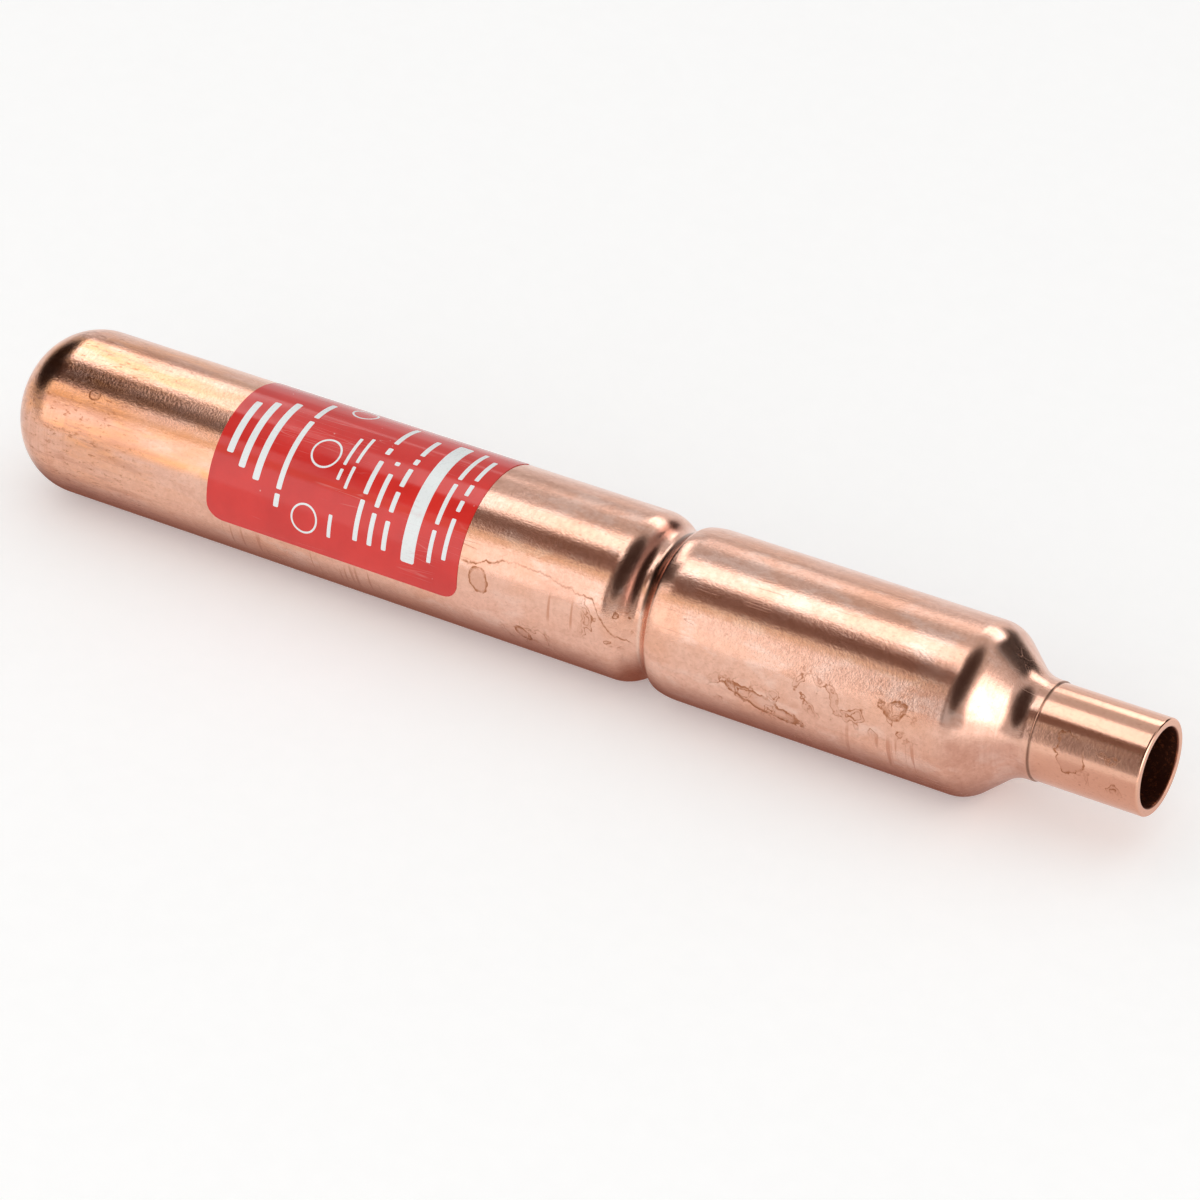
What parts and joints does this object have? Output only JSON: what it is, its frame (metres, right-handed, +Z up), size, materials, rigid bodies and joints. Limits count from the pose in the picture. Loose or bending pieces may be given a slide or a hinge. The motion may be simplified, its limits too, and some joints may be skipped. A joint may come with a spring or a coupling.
{
  "type": "water hammer arrestor",
  "caption": "Copper water hammer arrestor: a domed tube with a rolled stop groove, a spun neck and a solder stub, and a sealed piston that slides on an air charge.",
  "frame": {"origin": "centre of the stub's mouth", "axes": "+X out of the mouth along the tube, +Z up with the tube lying level, -Y towards the label's lower edge"},
  "size_m": [0.213, 0.0287, 0.0287],
  "materials": {
    "copper": "drawn copper with light stains and a bright groove",
    "piston_plastic": "moulded, satin",
    "seal_rubber": "black, greased",
    "label_film": "glossy red film with plain white bars"
  },
  "bodies": {
    "housing": {"barrel": "copper", "label": "label_film"},
    "sliding_piston": {"piston": "piston_plastic", "air_side_o_ring": "seal_rubber", "water_side_o_ring": "seal_rubber"}
  },
  "joints": [
    {"name": "piston_slide", "type": "slide", "parent": "housing", "child": "sliding_piston", "axis": [-1, 0, 0], "range_m": [0, 0.086], "stiffness_N_per_m": 40, "springref_m": -0.02}
  ]
}
